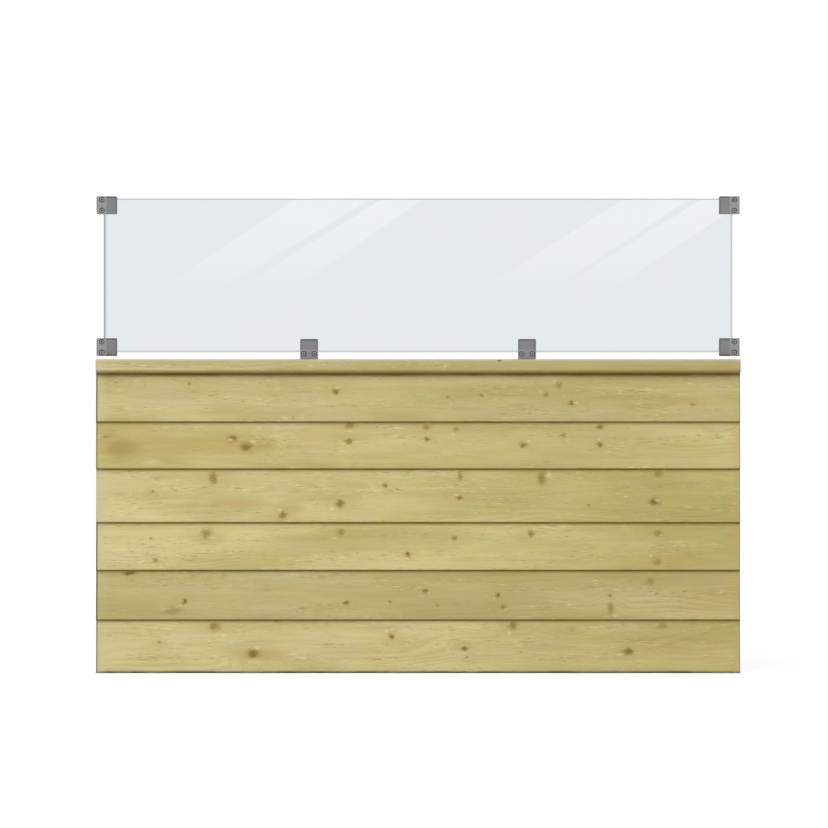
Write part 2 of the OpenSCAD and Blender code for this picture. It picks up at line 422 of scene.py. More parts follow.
def broad_shade(group, given, moved):
    """The wood's colour in broad patches, before its rings and fibres."""
    broad = spread(group, noise(group, moved, FIGURE["broad"], 3.0), 0.34, 0.66, -0.38, 0.38)
    deep = maths(group, "ADD", broad, given["Deep"])
    shade = mix(group, ramp(group, deep, 0, 1), PALE_PINE, DEEP_PINE)
    blotch = spread(group, noise(group, moved, FIGURE["blotch"]), 0.50, 0.75, 0.0, 0.25)
    ochre = ramp(group, maths(group, "ADD", blotch, given["Ochre"]), 0, 1)
    shade = mix(group, ochre, shade, OCHRE_PINE)
    cool = mix(group, given["Cool"], WHITE, COOL_TINT)
    shade = vector_maths(group, "MULTIPLY", shade, cool)
    patchy = spread(group, noise(group, moved, FIGURE["olive"]), 0.36, 0.66)
    olive = mix(group, product(group, patchy, given["Olive"]), WHITE, OLIVE_TINT)
    shade = vector_maths(group, "MULTIPLY", shade, olive)
    hue = noise(group, moved, FIGURE["hue"], output="Color")
    hue = vector_maths(group, "MULTIPLY_ADD", hue, HUE_SPREAD, tuple(1 - v / 2 for v in HUE_SPREAD))
    return vector_maths(group, "MULTIPLY", shade, hue)


def with_fibres(group, shade, moved, lifted, fibre):
    """Draws pale and dark dashes, fibres and streaks over a shade."""
    dash = noise(group, lifted, FIGURE["dash"], 1.0)
    crowd = spread(group, noise(group, moved, FIGURE["crowd"]), 0.40, 0.66, 0.10, 1.0)
    shade = mix(group, product(group, spread(group, dash, 0.60, 0.80), crowd, 0.9), shade, PALE_DASH)
    shade = mix(group, product(group, spread(group, dash, 0.42, 0.24), crowd, 0.85), shade, DARK_DASH)
    streak = noise(group, moved, FIGURE["streak"])
    fine = ramp(group, fibre, 0.25, 0.75, 0.94, 1.05)
    level = product(group, fine, ramp(group, streak, *USUAL, 0.955, 1.045))
    return scaled(group, shade, level)


print("figure ready")

# %% [markdown]
# The group puts the three together and lays the knots and the cut ends over them. A planed face is silky
# on the late wood and the knots, and duller between them, so the roughness and the height of the grain
# come from the same rings and fibres as the colour does.

# %% Pine group
def make_pine_group():
    sockets = dict.fromkeys(("Place", "Heart", "Lean", "Shift"), "Vector")
    sockets.update(dict.fromkeys(("Deep", "Ochre", "Cool", "Olive"), "Float"), **LAYER_SOCKETS)
    results = {"Colour": "Color", "Roughness": "Float", "Height": "Float"}
    group, given, result = new_group("Pine", sockets, results)
    moved = vector_maths(group, "ADD", given["Place"], given["Shift"])
    lift = scaled(group, (0, 0, -FIBRE_LIFT), given["Halo"])
    lifted = vector_maths(group, "ADD", moved, lift)
    fibre = noise(group, lifted, FIGURE["fibre"], 4.0, 0.6)
    facing = apart(group, add_node(group, "TexCoord").outputs["Normal"])
    end = spread(group, maths(group, "ABSOLUTE", facing["X"]), 0.6, 0.9)

    # Colour: late wood shows most in the clear patches and on the cut ends
    late = growth_rings(group, given, moved)
    clear = spread(group, noise(group, moved, FIGURE["clear"]), 0.40, 0.70, 0.15, 1.0)
    drawn = maths(group, "MAXIMUM", product(group, clear, 0.30), product(group, end, 0.6))
    shade = broad_shade(group, given, moved)
    shade = mix(group, product(group, late, drawn), shade, LATE_WOOD)
    shade = with_fibres(group, shade, moved, lifted, fibre)
    for layer, (tint, cover) in KNOT_LOOKS.items():
        shade = mix(group, product(group, given[layer], cover), shade, tint)
    shade = mix(group, product(group, end, 0.55), shade, END_GRAIN)
    group.links.new(shade, result["Colour"])

    # Gloss and height
    gloss = maths(group, "MAXIMUM", late, given["Stain"])
    rough = ramp(group, gloss, 0, 1, 0.74, 0.56)
    rough = maths(group, "MAXIMUM", rough, product(group, end, 0.85))
    group.links.new(maths(group, "MULTIPLY_ADD", fibre, 0.12, rough), result["Roughness"])
    height = maths(group, "MULTIPLY_ADD", late, 0.35, fibre)
    height = maths(group, "MULTIPLY_ADD", given["Core"], -0.6, height)
    group.links.new(height, result["Height"])
    return group


pine_group = make_pine_group()
print("group:", pine_group.name, len(pine_group.nodes), "nodes")

# %% [markdown]
# Timber isn't the same from end to end. The bay's left end is paler than its right, and its cut left end
# shows a dark rim, which is painted shade on the rounded end. Painted shade, tinted olive, also fills the
# corner under each lap and lies on the foot arris of each board, where the overhang and the rounded arris
# fall into shadow. Those come from how far a point is from the ends, the foot and the lap of its own board,
# and a short function adds each of them.

# %% What befalls a board, and the shade painted on it
KNOT_WAVER = 0.0060
KNOT_FRAY = 0.018
KNOT_SPREAD = 1.3
PATCH_SPREAD = (1.4, 0.2)
# Painted shade: an olive tint for the corners under the laps and on the foot arrises, a deeper one under the
# rail's overhang, and near black on the lowest board's rounded foot
SEAM_SHADE = colour(174, 150, 40)
RAIL_SHADE = colour(138, 114, 28)
FOOT_ARRIS_SHADE = colour(40, 37, 18)
# Distance where it starts, distance where it is full, colour, and strength where all boards share it
LEFT_END = (0.040, 0.004, colour(196, 188, 154))
# The left end's dark rim is painted shade on its rounded end
LEFT_RIM_SHADE = (0.0068, 0.0014, colour(92, 87, 70))
RIGHT_END = (0.030, 0.004, colour(190, 165, 100), 0.5)
RIGHT_RIM = (0.005, 0.001, colour(128, 114, 80), 0.5)
# Painted shade along the rail's top edge: a grey that dims the lamp light the edge catches and stands for
# the sky it mirrors
TOP_EDGE_SHADE = (0.020, 0.002, colour(180, 174, 150), 0.65)


def wavered(tree, place):
    """A place with a little waver and fray, so that what is drawn there has no clean outline."""
    waver = noise(tree, place, (80, 80, 80), output="Color")
    waver = vector_maths(tree, "MULTIPLY_ADD", waver, (2 * KNOT_WAVER,) * 3, (-KNOT_WAVER,) * 3)
    fray = maths(tree, "MULTIPLY_ADD", noise(tree, place, (70, 600, 600), 1.0), KNOT_FRAY, -KNOT_FRAY / 2)
    fray = add_node(tree, "CombineXYZ", {"X": fray}).outputs["Vector"]
    return vector_maths(tree, "ADD", vector_maths(tree, "ADD", place, waver), fray)


def knotted(tree, place, knots, foot, arris):
    """Adds one knot group after another, and returns the layers that they make together."""
    layers = dict.fromkeys(KNOT_LAYERS, 0.0)
    for along, up, half_length, half_height, depth in knots:
        wide, tall = (1000 / (KNOT_SPREAD * half) for half in (half_length, half_height))
        given = {
            "Place": place,
            "Centre": (along / 1000, arris or 0, foot + up / 1000),
            "Shape": (wide, wide if arris else 0, tall),
            "Depth": depth,
        }
        knot = add_node(tree, "Group", {**given, **layers}, node_tree=knot_group)
        layers = {layer: knot.outputs[layer] for layer in KNOT_LAYERS}
    return layers


def patch_strength(tree, place, foot, along, up, half_length, half_height, depth):
    """How strong a soft patch is at a place: depth at its middle, nothing outside it."""
    aside = vector_maths(tree, "SUBTRACT", place, (along / 1000, 0, foot + up / 1000))
    aside = vector_maths(tree, "MULTIPLY", aside, (1000 / half_length, 0, 1000 / half_height))
    return spread(tree, length(tree, aside), *PATCH_SPREAD, 0, depth)


def with_seam_shade(tree, place, shade, foot, foot_shade, lap, lap_shade):
    """Adds patchy painted shade to a front, over the foot and under the lap, where the arris and the
    overhang fall into shadow.
    """
    height = apart(tree, place)["Z"]
    patchy = spread(tree, noise(tree, place, (11, 60, 60)), *USUAL, 0.55, 1.0)
    facing = apart(tree, add_node(tree, "TexCoord").outputs["Normal"])
    patchy = product(tree, patchy, spread(tree, facing["Y"], -0.05, -0.3))
    shade = tint_near(tree, shade, maths(tree, "SUBTRACT", height, foot), *foot_shade, patchy)
    if lap is None:
        return shade
    return tint_near(tree, shade, maths(tree, "SUBTRACT", lap, height), *lap_shade, patchy)


def with_cut_ends(tree, shade, along, pale_end, rim):
    """Makes the left end pale with a dark rim of painted shade, and the right end warm with a fainter dark
    rim.
    """
    from_right = maths(tree, "SUBTRACT", bay_length, along)
    shade = tint_near(tree, shade, along, *LEFT_END, pale_end)
    shade = tint_near(tree, shade, along, *LEFT_RIM_SHADE, rim)
    shade = tint_near(tree, shade, from_right, *RIGHT_END)
    return tint_near(tree, shade, from_right, *RIGHT_RIM)


print("knots, patches, painted_shade and ends ready")

# %% [markdown]
# The material of one piece says where its wood lay in the log, and adds what befell it and the shade painted
# on it. Its tones are given for the bay's left and right ends. A knot is (along, up, half length, half
# height, depth), and so is a warm or a deeper patch, all but the depth in millimetres. A knot runs through
# from front to back, unless it lies on an arris, whose place is given. Painted shade is (distance where it
# starts, distance where it is full, colour, strength), from the foot or from the lap.

# %% Pine material
GRAIN_DEPTH = 0.0003
PINE_SHINE = 0.25


def pine(
    name, heart, lean, shift, tones, foot=0.0, lap=None, knots=(), arris=None, warm=(), deeper=(),
    foot_shade=None, lap_shade=None, rim=0.9, pale_end=0.6, shaded_top=None, upright=False,
):
    made, tree, shader, place = new_material(name)
    x, y, z = apart(tree, place)
    knot_place = wavered(tree, place)
    layers = knotted(tree, knot_place, knots, foot, arris)
    levels = {tone: ramp(tree, x, 0, bay_length, left, right) for tone, (left, right) in tones.items()}
    for patch in warm:
        strength = patch_strength(tree, knot_place, foot, *patch)
        levels["Ochre"] = maths(tree, "MAXIMUM", levels["Ochre"], strength)
    for patch in deeper:
        strength = patch_strength(tree, knot_place, foot, *patch)
        levels["Deep"] = maths(tree, "ADD", levels["Deep"], strength)
    turned = {"X": z, "Y": y, "Z": x}
    grain_place = add_node(tree, "CombineXYZ", turned).outputs["Vector"] if upright else place
    given = {"Place": grain_place, "Heart": heart, "Lean": lean, "Shift": shift, **levels, **layers}
    wood = add_node(tree, "Group", given, node_tree=pine_group).outputs

    shade = wood["Colour"]
    # Painted shade over the foot and under the lap
    if foot_shade:
        shade = with_seam_shade(tree, place, shade, foot, foot_shade, lap, lap_shade)
    if not upright:
        shade = with_cut_ends(tree, shade, x, pale_end, rim)
    # Painted shade along the top edge, except over a knot's stain
    if shaded_top is not None:
        from_top = maths(tree, "SUBTRACT", shaded_top, z)
        bare = maths(tree, "SUBTRACT", 1.0, layers["Stain"])
        shade = tint_near(tree, shade, from_top, *TOP_EDGE_SHADE, bare)
    fill(tree, shader, {
        "Base Color": shade,
        "Roughness": wood["Roughness"],
        "Specular IOR Level": PINE_SHINE,
        "Normal": bump(tree, wood["Height"], 0.6, GRAIN_DEPTH),
    })
    return made


print("pine ready")

# %% [markdown]
# Where the knots sit is part of each board's character, and so is their size: most are as wide as a
# thumbnail, with a few small pin knots between them, and a wide, faint one is no more than a stain. They
# are listed board by board from the top, and from left to right.

# %% Knots of each board
KNOTS = {
    "board_1": [
        (252, 102, 6, 5, 0.8), (648, 83, 10, 9, 0.9), (952, 68, 4, 4, 0.8), (1043, 72, 5, 4, 0.8),
        (1214, 74, 8, 7, 0.8), (1250, 100, 8, 8, 0.7), (1286, 50, 8, 7, 0.9), (1613, 46, 6, 5, 0.6),
    ],
    "board_2": [
        (24, 86, 11, 4, 0.6), (28, 92, 26, 16, 0.28), (72, 52, 44, 21, 0.46), (369, 82, 14, 9, 0.9),
        (406, 59, 15, 12, 0.9), (686, 116, 13, 9, 0.8), (683, 73, 10, 7, 0.8), (893, 112, 10, 7, 0.75),
        (893, 81, 6, 6, 0.9), (972, 106, 8, 7, 0.7), (1155, 65, 9, 8, 0.9), (1263, 90, 7, 7, 0.7),
        (1361, 114, 12, 7, 0.8), (1361, 66, 7, 7, 0.9), (1402, 81, 4, 3, 0.4), (1677, 94, 6, 5, 0.3),
    ],
    "board_3": [
        (154, 83, 4, 3, 0.9), (162, 118, 9, 4, 0.45), (317, 121, 11, 17, 0.8), (504, 20, 13, 10, 0.85),
        (658, 50, 12, 11, 0.9), (780, 100, 7, 6, 0.9), (983, 126, 7, 13, 0.7), (982, 68, 9, 5, 0.9),
        (1205, 119, 12, 18, 0.75), (1331, 45, 5, 4, 0.6), (1510, 56, 15, 11, 1.0), (1520, 132, 11, 10, 0.7),
    ],
    "board_4": [
        (149, 85, 4, 5, 0.6), (150, 63, 3, 2, 0.9), (161, 25, 7, 6, 0.7), (300, 98, 15, 13, 0.7),
        (661, 101, 11, 9, 0.7), (842, 42, 7, 6, 1.0), (966, 86, 8, 7, 0.8), (1175, 99, 9, 9, 0.8),
        (1520, 99, 11, 9, 0.7), (1515, 25, 12, 10, 0.6),
    ],
    "board_5": [
        (89, 126, 18, 5, 1.0), (205, 25, 26, 12, 0.5), (238, 49, 7, 7, 1.0), (675, 46, 7, 7, 1.0),
        (793, 49, 4, 4, 0.9), (891, 77, 7, 6, 0.9), (923, 39, 4, 4, 0.7), (1085, 66, 6, 6, 0.9),
        (1100, 35, 7, 7, 0.8), (1389, 66, 5, 5, 0.9), (1391, 29, 8, 15, 0.7), (1495, 103, 11, 9, 0.55),
        (1515, 72, 3, 3, 0.8),
    ],
    "board_6": [
        (171, 82, 4, 4, 0.8), (321, 124, 14, 12, 0.8), (425, 54, 17, 12, 0.95), (798, 100, 7, 7, 1.0),
        (996, 66, 8, 7, 0.9), (1000, 43, 3, 3, 0.9), (1125, 127, 12, 11, 0.8), (1286, 117, 6, 5, 0.4),
        (1436, 57, 15, 9, 0.9), (1530, 128, 12, 9, 0.6),
    ],
}
print("knots:", {board: len(listed) for board, listed in KNOTS.items()})

# %% [markdown]
# Each board comes from its own log, so each gets its own heart, lean and tone. The upper lap line of a
# board is the foot of the one above it, and the top board's is the underside of the rail.

# %% Dress the boards
LOGS = {
    # name: where its heart lay, behind the middle plane and above the foot, and how that leans on its way
    "board_1": ((0.090, 0.080), (0.010, -0.020)),
    "board_2": ((0.070, 0.035), (-0.012, 0.025)),
    "board_3": ((0.110, 0.060), (0.014, 0.015)),
    "board_4": ((0.080, 0.090), (0.012, -0.030)),
    "board_5": ((0.060, 0.050), (-0.010, 0.010)),
    "board_6": ((0.095, 0.070), (0.009, 0.020)),
}
TONES = {
    # name: how strong each tone is at the left and at the right end
    "board_1": {"Deep": (0.92, 0.42), "Ochre": (0.0, 0.0), "Cool": (0.8, 0.8), "Olive": (0.1, 0.1)},
    "board_2": {"Deep": (1.05, 0.05), "Ochre": (0.1, 0.0), "Cool": (0.2, 0.5), "Olive": (0.2, 0.4)},
    "board_3": {"Deep": (0.15, 0.80), "Ochre": (0.0, 0.0), "Cool": (0.5, 0.0), "Olive": (0.1, 0.8)},
    "board_4": {"Deep": (0.02, 0.85), "Ochre": (0.0, 0.0), "Cool": (0.3, 0.0), "Olive": (0.3, 0.8)},
    "board_5": {"Deep": (1.05, 0.68), "Ochre": (0.0, 0.1), "Cool": (1.0, 0.6), "Olive": (0.1, 0.1)},
    "board_6": {"Deep": (-0.35, 0.78), "Ochre": (0.0, 0.1), "Cool": (0.5, 0.1), "Olive": (0.1, 0.5)},
}
WARM_PATCHES = {
    "board_2": [(120, 64, 380, 30, 0.65), (60, 60, 80, 40, 0.80), (400, 65, 80, 26, 0.8)],
    "board_3": [(400, 46, 85, 18, 0.50), (520, 40, 45, 20, 0.5), (1110, 30, 80, 16, 0.4)],
    "board_4": [(1590, 30, 90, 20, 0.50), (300, 86, 50, 20, 0.4), (1150, 84, 40, 16, 0.3)],
    "board_5": [(1660, 66, 140, 70, 0.50)],
    "board_6": [(450, 50, 80, 18, 0.60), (1640, 60, 140, 50, 0.3)],
}
DEEPER_PATCHES = {
    # Where the depth is negative, the patch is paler than the wood round it
    "board_1": [(870, 96, 1300, 40, 0.15), (870, 28, 1300, 40, -0.12)],
    "board_2": [(440, 62, 40, 24, 0.5), (860, 30, 210, 50, -0.35), (320, 16, 100, 26, -0.4)],
    "board_3": [(260, 72, 190, 90, 0.35), (690, 72, 250, 100, -0.45), (1470, 72, 330, 100, 0.50)],
    "board_4": [(1570, 30, 220, 60, 0.42), (400, 90, 140, 60, -0.25)],
    "board_6": [(600, 30, 150, 50, 0.36), (1200, 30, 220, 50, 0.30), (1680, 60, 120, 80, -0.3)],
}


def dress(node, material):
    """Gives a solid a material in place of its plain one."""
    for slot in nodes[node].material_slots:
        slot.material = material


NEXT_LOG = (3.7, 1.3, 0.9)
# Painted shade under each lap and over each foot, deeper under the rail and near black on the lowest board's
# foot
UNDER_LAP = (0.009, 0.0, SEAM_SHADE, 0.7)
UNDER_LAPS = {
    "board_1": (0.015, 0.0, RAIL_SHADE, 1.0),
    "board_2": (0.009, 0.0, SEAM_SHADE, 0.4),
    "board_3": (0.009, 0.0, SEAM_SHADE, 0.9),
    "board_6": (0.009, 0.0, SEAM_SHADE, 0.5),
}
OVER_FOOT = (0.005, 0.0, SEAM_SHADE, 0.4)
OVER_FEET = {"board_6": (0.0095, 0.002, FOOT_ARRIS_SHADE, 1.0)}
# How strong the painted shade on each board's left rim is
RIMS = {"board_2": 0.65, "board_3": 0.10, "board_6": 0.65}
PALE_ENDS = {"board_2": 0.1, "board_5": 0.2}
lap = rail_low.z
for number, (board, (heart, lean)) in enumerate(LOGS.items()):
    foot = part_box(board)[0].z
    material = pine(
        board + " pine",
        heart=(0, heart[0], foot + heart[1]),
        lean=(0, *lean),
        shift=[step * number for step in NEXT_LOG],
        tones=TONES[board],
        foot=foot,
        lap=lap,
        knots=KNOTS[board],
        warm=WARM_PATCHES.get(board, ()),
        deeper=DEEPER_PATCHES.get(board, ()),
        foot_shade=OVER_FEET.get(board, OVER_FOOT),
        lap_shade=UNDER_LAPS.get(board, UNDER_LAP),
        rim=RIMS.get(board, 0.9),
        pale_end=PALE_ENDS.get(board, 0.6),
    )
    dress(board, material)
    lap = foot
print("dressed", len(LOGS), "boards")

# %% [markdown]
# The rail is one more piece of the same timber, with painted shade along its upper edge: a grey that dims
# the light the edge catches and stands for the sky it mirrors. The battens are plain sawn sticks on end:
# their rings run round a heart that stands upright, which the same material gives when its coordinates are
# turned.

# %% Dress the rail and the battens
rail_pine = pine(
    "rail pine",
    heart=(0, 0.060, 0.780),
    lean=(0, 0.010, 0.012),
    shift=(31, 7, 5),
    tones={"Deep": (0.38, 0.66), "Ochre": (0.1, 0.1), "Cool": (1.3, 1.1), "Olive": (0.0, 0.1)},
    foot=rail_low.z,
    knots=[(1089, 36, 9, 4, 1.0)],
    arris=rail_low.y,
    warm=[(1710, 19, 60, 40, 0.5)],
    deeper=[(1710, 19, 60, 40, 0.5)],
    # Painted shade on the rail's rounded lower arris
    foot_shade=(0.012, 0.0, SEAM_SHADE, 0.8),
    rim=0.10,
    shaded_top=rail_high.z,
)
dress("top_rail", rail_pine)
BATTEN_KNOTS = {
    "left_batten": [(22, 230, 6, 7, 0.8), (14, 610, 7, 8, 0.7)],
    "centre_batten": [(878, 310, 7, 8, 0.9), (862, 520, 5, 6, 0.6)],
    "right_batten": [(1712, 165, 7, 8, 0.7), (1722, 560, 6, 7, 0.8)],
}
for number, (batten, knots) in enumerate(BATTEN_KNOTS.items()):
    material = pine(
        batten + " pine",
        heart=(0, 0.05, 0.0),
        lean=(0, 0.004, 0.01),
        shift=(40 + number, 3, 2),
        tones={"Deep": (0.4, 0.6), "Ochre": (0.1, 0.1), "Cool": (0.3, 0.3), "Olive": (0.2, 0.2)},
        knots=knots,
        upright=True,
    )
    dress(batten, material)
print("dressed the rail and", len(BATTEN_KNOTS), "battens")

# %% [markdown]
# ## Clamps
#
# The clamps are cast and blasted to a satin grey. The flat land that carries the screws has been linished a
# little brighter than the jaws, each screw sits in a dark ring of painted shade where its countersink falls
# into shadow, and near the rail the metal is stained a faint mauve. How far a point is from the face that
# its clamp stands on tells land, ring and jaws apart, so there is one metal for each way that a clamp can
# stand.

# %% Clamp metal
LAND = 0.027
LAND_EDGE = 0.0004
SCREW_INSET = 0.0145
SCREW_PITCH = 0.029
FRONT = (-0.006, -0.0075)
FINE_DEPTH = 0.0001
JAW_GREY = colour(138, 138, 139)
LAND_GREY = colour(156, 156, 154)
# Distance where it starts, distance where it is full, and colour
# The ring round each screw is painted shade in its countersink
SINK_SHADE = (0.0076, 0.0066, colour(20, 20, 20))
MAUVE_STAIN = (0.05, 0.01, colour(132, 122, 131))


def satin_metal(name, axis, start, toward, middles):
    """Satin metal for the clamps that reach from start along an axis, with their middles on the other."""
    made, tree, shader, place = new_material(name)
    places = apart(tree, place)
    reach = maths(tree, "MULTIPLY", maths(tree, "SUBTRACT", places[axis], start), toward)
    other = places["X" if axis == "Z" else "Z"]
    aside = [maths(tree, "ABSOLUTE", maths(tree, "SUBTRACT", other, middle)) for middle in middles]
    aside = maths(tree, "SUBTRACT", maths(tree, "MINIMUM", *aside), SCREW_PITCH / 2)
    along = maths(tree, "SUBTRACT", reach, SCREW_INSET)
    from_screw = length(tree, add_node(tree, "CombineXYZ", {"X": aside, "Y": along}).outputs["Vector"])
    cloud = noise(tree, place, (60, 60, 60), 3.0)
    grain = noise(tree, place, (1500, 1500, 1500))
    speck = noise(tree, place, (420, 420, 420))
    shade = tint_near(tree, JAW_GREY, reach, LAND + LAND_EDGE, LAND - LAND_EDGE, LAND_GREY)
    over_rail = maths(tree, "SUBTRACT", places["Z"], rail_high.z)
    shade = tint_near(tree, shade, over_rail, *MAUVE_STAIN, cover=cloud)
    shade = scaled(tree, shade, ramp(tree, cloud, *USUAL, 0.94, 1.08))
    shade = scaled(tree, shade, ramp(tree, speck, *USUAL, 0.95, 1.05))
    in_front = spread(tree, places["Y"], *FRONT)
    # Painted shade in the ring round each countersink, on the front only
    shade = tint_near(tree, shade, from_screw, *SINK_SHADE, cover=in_front)
    fill(tree, shader, {
        "Base Color": shade,
        "Metallic": 1.0,
        "Roughness": ramp(tree, cloud, *USUAL, 0.38, 0.50),
        "Normal": bump(tree, grain, 0.35, FINE_DEPTH),
    })
    return made


def middle_of(clamp, axis):
    low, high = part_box(clamp + "_body")
    return (low[axis] + high[axis]) / 2


heights = [middle_of(clamp, 2) for clamp in ("clamp_top_left", "clamp_bottom_left")]
lengths = [middle_of(clamp, 0) for clamp in ("clamp_middle_left", "clamp_middle_right")]
METALS = {
    "left": satin_metal("Clamp metal left", "X", 0, 1, heights),
    "right": satin_metal("Clamp metal right", "X", bay_length, -1, heights),
    "middle": satin_metal("Clamp metal middle", "Z", rail_high.z, 1, lengths),
}
clamps = sorted(name.removesuffix("_body") for name in nodes if name.endswith("_body"))
for clamp in clamps:
    stands = "middle" if "middle" in clamp else clamp.split("_")[-1]
    dress(clamp + "_body", METALS[stands])
    dress(clamp + "_cover", METALS[stands])
print("dressed", len(clamps), "clamps")

# %% [markdown]
# The pads between jaw and glass are black rubber: never quite black, dull, and faintly mottled.

# %% Pad rubber
pad_rubber, tree, shader, place = new_material("Pad rubber")
mottle = noise(tree, place, (900, 900, 900))
fill(tree, shader, {
    "Base Color": mix(tree, mottle, colour(22, 22, 23), colour(46, 46, 47)),
    "Roughness": 0.8,
    "Normal": bump(tree, mottle, 0.4, FINE_DEPTH),
})
for clamp in clamps:
    dress(clamp + "_pads", pad_rubber)
print("dressed the pads")

# %% [markdown]
# ## The glass sheet
#
# The glass is a cuboid whose edges have been ground round. Clear glass hides nothing, so its edge has to
# be right: light that enters there is bent away from the white behind, and the edge shows as a grey
# line. A smooth bevel on the eight edges of the two faces does that. The short edges at the corners stay
# as the grinding leaves them.

# %% Model the glass sheet
GLASS_ROUND = 0.00225
SQUARE_ON = 0.999
SMOOTH_BELOW = 30


def start_piece(name):
    """Names the object that was just added, and enters edit mode."""
    piece = bpy.context.object
    piece.name = piece.data.name = name
    bpy.ops.object.mode_set(mode="EDIT")
    return piece


def pick(piece, kind, test):
    """Selects the edges or the faces of a piece in edit mode that a test picks out."""
    bpy.ops.mesh.select_mode(type={"edges": "EDGE", "polygons": "FACE"}[kind])
    bpy.ops.mesh.select_all(action="DESELECT")
    bpy.ops.object.mode_set(mode="OBJECT")
    for element in getattr(piece.data, kind):
        element.select = bool(test(element))
    bpy.ops.object.mode_set(mode="EDIT")


def settle():
    """Leaves edit mode, puts the piece's origin at the frame's, and shades it by angle."""
    bpy.ops.object.mode_set(mode="OBJECT")
    bpy.ops.object.transform_apply()
    bpy.ops.object.shade_smooth_by_angle(angle=math.radians(SMOOTH_BELOW))


glass_low, glass_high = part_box("glass_panel")
bpy.ops.mesh.primitive_cube_add(size=1, location=(glass_low + glass_high) / 2, scale=glass_high - glass_low)
bpy.ops.object.transform_apply()
glass_sheet = start_piece("glass_sheet")


def along_y(edge):
    first, second = (glass_sheet.data.vertices[v].co for v in edge.vertices)
    return abs(first.y - second.y) > GLASS_ROUND


pick(glass_sheet, "edges", lambda edge: not along_y(edge))
bpy.ops.mesh.bevel(offset=GLASS_ROUND, offset_type="OFFSET", segments=6, affect="EDGES")
settle()
for face in glass_sheet.data.polygons:
    face.use_smooth = abs(face.normal.y) < SQUARE_ON
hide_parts("glass_panel")
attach(glass_sheet, "root")
print("glass sheet:", len(glass_sheet.data.polygons), "faces")

# %% [markdown]
# Clear glass takes a little from the light that crosses it, most from the red. Its ground rim is matt, and
# its grey is painted shade that changes along the edges; just inside an edge a painted line stands for the
# light that the rim bends.

# %% Glass
RIM = 0.0034
LEFT_FADE = 0.5
BODY_TINTS = (colour(228, 233, 236), colour(229, 233, 237))
# The rim's colours are painted shade: darker at the left end and along the top, paler further right and at
# the foot
END_RIMS = (colour(152, 156, 156), colour(188, 194, 195))
LONG_RIMS = (colour(209, 212, 213), colour(164, 169, 170))
# Painted lines just inside the edges, for the light that the rim bends
BENT_LINES = {
    # edge: (distance where its line starts, distance where it is full, colour, strength)
    "left": (0.011, 0.001, colour(128, 134, 136), 0.6),
    "right": (0.009, 0.002, colour(180, 186, 188), 0.5),
    "foot": (0.0060, 0.0045, colour(200, 204, 205), 1.0),
}

clear_glass, tree, shader, place = new_material("Clear glass")
x, _, z = apart(tree, place)
distances = {
    "left": maths(tree, "SUBTRACT", x, glass_low.x),
    "right": maths(tree, "SUBTRACT", glass_high.x, x),
    "foot": maths(tree, "SUBTRACT", z, glass_low.z),
    "top": maths(tree, "SUBTRACT", glass_high.z, z),
}
from_ends = maths(tree, "MINIMUM", distances["left"], distances["right"])
from_long = maths(tree, "MINIMUM", distances["foot"], distances["top"])
rim = spread(tree, maths(tree, "MINIMUM", from_ends, from_long), RIM, RIM / 2)
smear = noise(tree, place, (5, 5, 3), 3.0)
body = mix(tree, spread(tree, smear, *USUAL), *BODY_TINTS)
for edge, line in BENT_LINES.items():
    body = tint_near(tree, body, distances[edge], *line)
end_rim = mix(tree, spread(tree, x, glass_low.x, glass_low.x + LEFT_FADE), *END_RIMS)
long_rim = mix(tree, spread(tree, z, glass_low.z, glass_high.z), *LONG_RIMS)
on_long = spread(tree, maths(tree, "SUBTRACT", from_ends, from_long), 0, RIM)
rim_shade = mix(tree, on_long, end_rim, long_rim)
fill(tree, shader, {
    "Base Color": mix(tree, rim, body, rim_shade),
    "Roughness": maths(tree, "MULTIPLY", rim, 0.35),
    "Transmission Weight": 1.0,
    "IOR": 1.5,
})
glass_sheet.data.materials.append(clear_glass)
print("glass ready")

# %% [markdown]
# What makes a clear sheet look like glass is what it mirrors. Four slanting strip lights, two broad and
# two narrow, stand in front of the set and lay pale streaks over it that fade towards the rail. They are
# cards that only a reflection can meet, so they add no light to the timber. The law of reflection
# gives their place: seen from the camera, a point on the glass mirrors the point of the card plane that
# lies as far past it as the glass is in front of the camera.

# %% Strip lights
CARD_PLANE = -3.0
STREAK_TOP = 1.30
STREAK_FOOT = 0.93
STREAKS = [
    # (left, right) on the glass at the streak's top, and the same at its foot
    ((0.566, 0.773), (0.009, 0.152)),
    ((0.803, 0.911), (0.204, 0.374)),
    ((1.456, 1.636), (0.873, 1.060)),
    ((1.669, 1.793), (1.072, 1.231)),
]
DIM, DIM_GLOW = 0.97, 1.0
BRIGHT, BRIGHT_GLOW = 1.25, 2.4


def mirrored(x, z):
    """The point of the card plane that the camera sees mirrored in the glass at x, z."""
    past = CARD_PLANE / camera.location.y
    return (x + past * (x - camera.location.x), CARD_PLANE, z + past * (z - camera.location.z))


card_glow = bpy.data.materials.new("Strip light")
card_glow.use_nodes = True
tree = card_glow.node_tree
tree.nodes.clear()
height = apart(tree, add_node(tree, "TexCoord").outputs["Object"])["Z"]
glow = spread(tree, height, mirrored(0, DIM)[2], mirrored(0, BRIGHT)[2], DIM_GLOW, BRIGHT_GLOW)
light = add_node(tree, "Emission", {"Strength": glow}).outputs[0]
add_node(tree, "OutputMaterial", {"Surface": light})
card_glow.cycles.emission_sampling = "NONE"
for number, (top, foot) in enumerate(STREAKS):
    bpy.ops.mesh.primitive_plane_add(size=1)
    card = bpy.context.object
    card.name = f"strip_light_{number + 1}"
    corners = [mirrored(x, STREAK_FOOT) for x in foot] + [mirrored(x, STREAK_TOP) for x in top]
    for vertex, corner in zip(card.data.vertices, corners):
        vertex.co = corner
    card.data.materials.append(card_glow)
    card.visible_camera = card.visible_diffuse = False
    card.visible_transmission = card.visible_shadow = False
